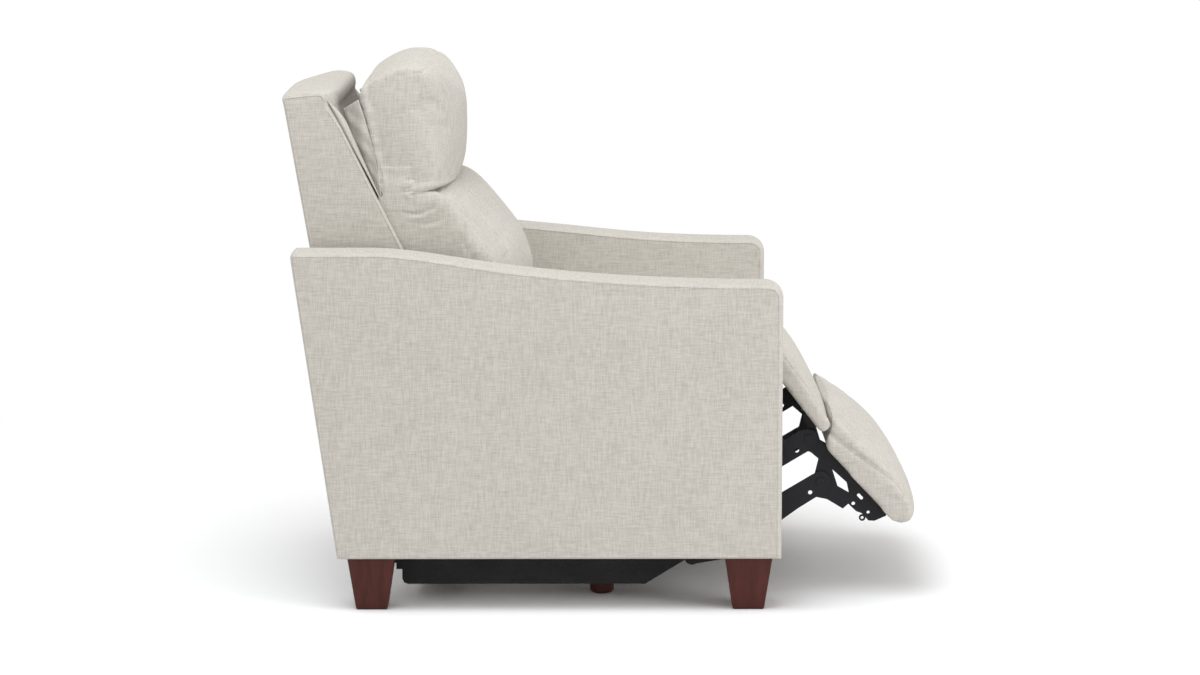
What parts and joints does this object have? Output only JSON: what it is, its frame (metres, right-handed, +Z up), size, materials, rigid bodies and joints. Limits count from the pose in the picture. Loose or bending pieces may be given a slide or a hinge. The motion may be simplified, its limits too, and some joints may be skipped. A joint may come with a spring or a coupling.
{
  "type": "power recliner",
  "caption": "Upholstered power recliner with padded arms, wooden legs, a linked footrest, a gliding seat, a reclining back and a tilting head pillow.",
  "frame": {"origin": "middle of the footprint on the floor, in the pose shown", "axes": "+X forward out of the seat, +Y to the sitter's left, +Z up"},
  "size_m": [1.1704, 0.78, 0.996],
  "materials": {
    "fabric": "oatmeal linen-look weave",
    "leg_wood": "dark red-brown stain, satin",
    "black_board": "timber wrapped in black cloth",
    "black_steel": "black powder coat",
    "black_plastic": "moulded black plastic",
    "frame_timber": "bare plywood",
    "zinc_steel": "zinc plated",
    "button_plastic": "silver-grey moulded plastic"
  },
  "bodies": {
    "base": {"right_arm": "fabric", "left_arm": "fabric", "front_right_leg": "leg_wood", "front_left_leg": "leg_wood", "rear_right_leg": "leg_wood", "rear_left_leg": "leg_wood", "right_support_foot": "leg_wood", "left_support_foot": "leg_wood", "leg_bolts": "zinc_steel", "right_base_board": "black_board", "left_base_board": "black_board", "right_base_rail": "black_steel", "left_base_rail": "black_steel", "middle_cross_rail": "black_board", "rear_cross_rail": "black_board", "power_supply": "black_plastic", "power_inlet": "black_plastic", "control_bezel": "black_plastic"},
    "front_swing_links": {"right_front_swing_link": "black_steel", "left_front_swing_link": "black_steel"},
    "rear_swing_links": {"right_rear_swing_link": "black_steel", "left_rear_swing_link": "black_steel"},
    "seat": {"right_seat_plate": "black_steel", "left_seat_plate": "black_steel", "seat_frame": "frame_timber", "seat_springs": "zinc_steel", "seat_cushion": "fabric", "seat_cross_tubes": "black_steel", "footrest_actuator": "black_plastic", "recline_actuator": "black_plastic"},
    "footrest_drive": {"right_footrest_arm": "black_steel", "left_footrest_arm": "black_steel", "footrest_drive_tube": "black_steel"},
    "front_arms": {"footrest_front_arms": "black_steel"},
    "lower_links": {"right_lower_link": "black_steel", "left_lower_link": "black_steel"},
    "upper_links": {"right_upper_link": "black_steel", "left_upper_link": "black_steel"},
    "footrest": {"right_footrest_bracket": "black_steel", "left_footrest_bracket": "black_steel", "footrest_board": "frame_timber", "footrest_pad": "fabric"},
    "middle_rest": {"middle_brackets": "black_steel", "middle_pad": "fabric"},
    "footrest_rod": {"footrest_actuator_rod": "zinc_steel"},
    "recline_rod": {"recline_actuator_rod": "zinc_steel"},
    "back": {"back_shell": "fabric", "back_cushion": "fabric", "back_hinge_brackets": "black_steel", "headrest_actuator": "black_plastic"},
    "headrest": {"headrest_bracket": "black_steel", "head_pillow": "fabric"},
    "headrest_rod": {"headrest_actuator_rod": "zinc_steel"},
    "footrest_out_button": {"footrest_out_button": "button_plastic"},
    "footrest_in_button": {"footrest_in_button": "button_plastic"},
    "recline_back_button": {"recline_back_button": "button_plastic"},
    "recline_up_button": {"recline_up_button": "button_plastic"},
    "headrest_forward_button": {"headrest_forward_button": "button_plastic"},
    "headrest_back_button": {"headrest_back_button": "button_plastic"},
    "home_button": {"home_button": "button_plastic"}
  },
  "joints": [
    {"name": "seat_glide", "type": "hinge", "parent": "base", "child": "front_swing_links", "pos_m": [-0.028, 0, 0.095], "axis": [0, 1, 0], "range_deg": [0, 30]},
    {"name": "rear_swing_turn", "type": "hinge", "parent": "base", "child": "rear_swing_links", "pos_m": [-0.252, 0, 0.095], "axis": [0, 1, 0], "range_deg": [0, 30.01]},
    {"name": "seat_level", "type": "hinge", "parent": "front_swing_links", "child": "seat", "pos_m": [-0.06682, 0, 0.23989], "axis": [0, 1, 0], "range_deg": [-30.01, 0]},
    {"name": "back_recline", "type": "hinge", "parent": "seat", "child": "back", "pos_m": [-0.347, 0, 0.324], "axis": [0, -1, 0], "range_deg": [0, 27.01]},
    {"name": "recline_rod_slide", "type": "slide", "parent": "seat", "child": "recline_rod", "axis": [1, 0, 0], "range_m": [0, 0.02998]},
    {"name": "footrest_raise", "type": "hinge", "parent": "seat", "child": "footrest_drive", "pos_m": [0.08767, 0, 0.3211], "axis": [0, -1, 0], "range_deg": [-43, 47]},
    {"name": "front_arms_turn", "type": "hinge", "parent": "seat", "child": "front_arms", "pos_m": [0.14767, 0, 0.3311], "axis": [0, -1, 0], "range_deg": [-43.01, 47.01]},
    {"name": "lower_links_turn", "type": "hinge", "parent": "footrest_drive", "child": "lower_links", "pos_m": [0.15814, 0, 0.07208], "axis": [0, -1, 0], "range_deg": [-47.01, 43.01]},
    {"name": "upper_links_turn", "type": "hinge", "parent": "footrest_drive", "child": "upper_links", "pos_m": [0.13526, 0, 0.1529], "axis": [0, -1, 0], "range_deg": [-47.01, 43.01]},
    {"name": "footrest_turn", "type": "hinge", "parent": "lower_links", "child": "footrest", "pos_m": [0.396, 0, 0.215], "axis": [0, -1, 0], "range_deg": [-43.01, 47.01]},
    {"name": "middle_rest_turn", "type": "hinge", "parent": "footrest", "child": "middle_rest", "pos_m": [0.38699, 0, 0.28318], "axis": [0, -1, 0], "range_deg": [-5.46, 5]},
    {"name": "footrest_rod_slide", "type": "slide", "parent": "seat", "child": "footrest_rod", "axis": [1, 0, 0], "range_m": [-0.04063, 0.0444]},
    {"name": "headrest_tilt", "type": "hinge", "parent": "back", "child": "headrest", "pos_m": [-0.414, 0, 0.741], "axis": [0, -1, 0], "range_deg": [0, 13]},
    {"name": "headrest_rod_slide", "type": "slide", "parent": "back", "child": "headrest_rod", "axis": [0, 0, -1], "range_m": [0, 0.00865]},
    {"name": "footrest_out_press", "type": "slide", "parent": "base", "child": "footrest_out_button", "axis": [0, -1, 0], "range_m": [0, 0.002], "stiffness_N_per_m": 300},
    {"name": "footrest_in_press", "type": "slide", "parent": "base", "child": "footrest_in_button", "axis": [0, -1, 0], "range_m": [0, 0.002], "stiffness_N_per_m": 300},
    {"name": "recline_back_press", "type": "slide", "parent": "base", "child": "recline_back_button", "axis": [0, -1, 0], "range_m": [0, 0.002], "stiffness_N_per_m": 300},
    {"name": "recline_up_press", "type": "slide", "parent": "base", "child": "recline_up_button", "axis": [0, -1, 0], "range_m": [0, 0.002], "stiffness_N_per_m": 300},
    {"name": "headrest_forward_press", "type": "slide", "parent": "base", "child": "headrest_forward_button", "axis": [0, -1, 0], "range_m": [0, 0.002], "stiffness_N_per_m": 300},
    {"name": "headrest_back_press", "type": "slide", "parent": "base", "child": "headrest_back_button", "axis": [0, -1, 0], "range_m": [0, 0.002], "stiffness_N_per_m": 300},
    {"name": "home_press", "type": "slide", "parent": "base", "child": "home_button", "axis": [0, -1, 0], "range_m": [0, 0.002], "stiffness_N_per_m": 300}
  ],
  "couplings": [
    {"joint": "rear_swing_turn", "follows": "seat_glide", "ratio": 1},
    {"joint": "seat_level", "follows": "seat_glide", "ratio": -1},
    {"joint": "back_recline", "follows": "seat_glide", "ratio": 0.9},
    {"joint": "recline_rod_slide", "follows": "seat_glide", "m_per_rad": 0.05707},
    {"joint": "front_arms_turn", "follows": "footrest_raise", "ratio": 1},
    {"joint": "lower_links_turn", "follows": "footrest_raise", "ratio": -1},
    {"joint": "upper_links_turn", "follows": "footrest_raise", "ratio": -1},
    {"joint": "footrest_turn", "follows": "footrest_raise", "ratio": 1},
    {"joint": "middle_rest_turn", "follows": "footrest_raise", "ratio": -0.116},
    {"joint": "footrest_rod_slide", "follows": "footrest_raise", "m_per_rad": 0.054},
    {"joint": "headrest_rod_slide", "follows": "headrest_tilt", "m_per_rad": 0.03767}
  ]
}
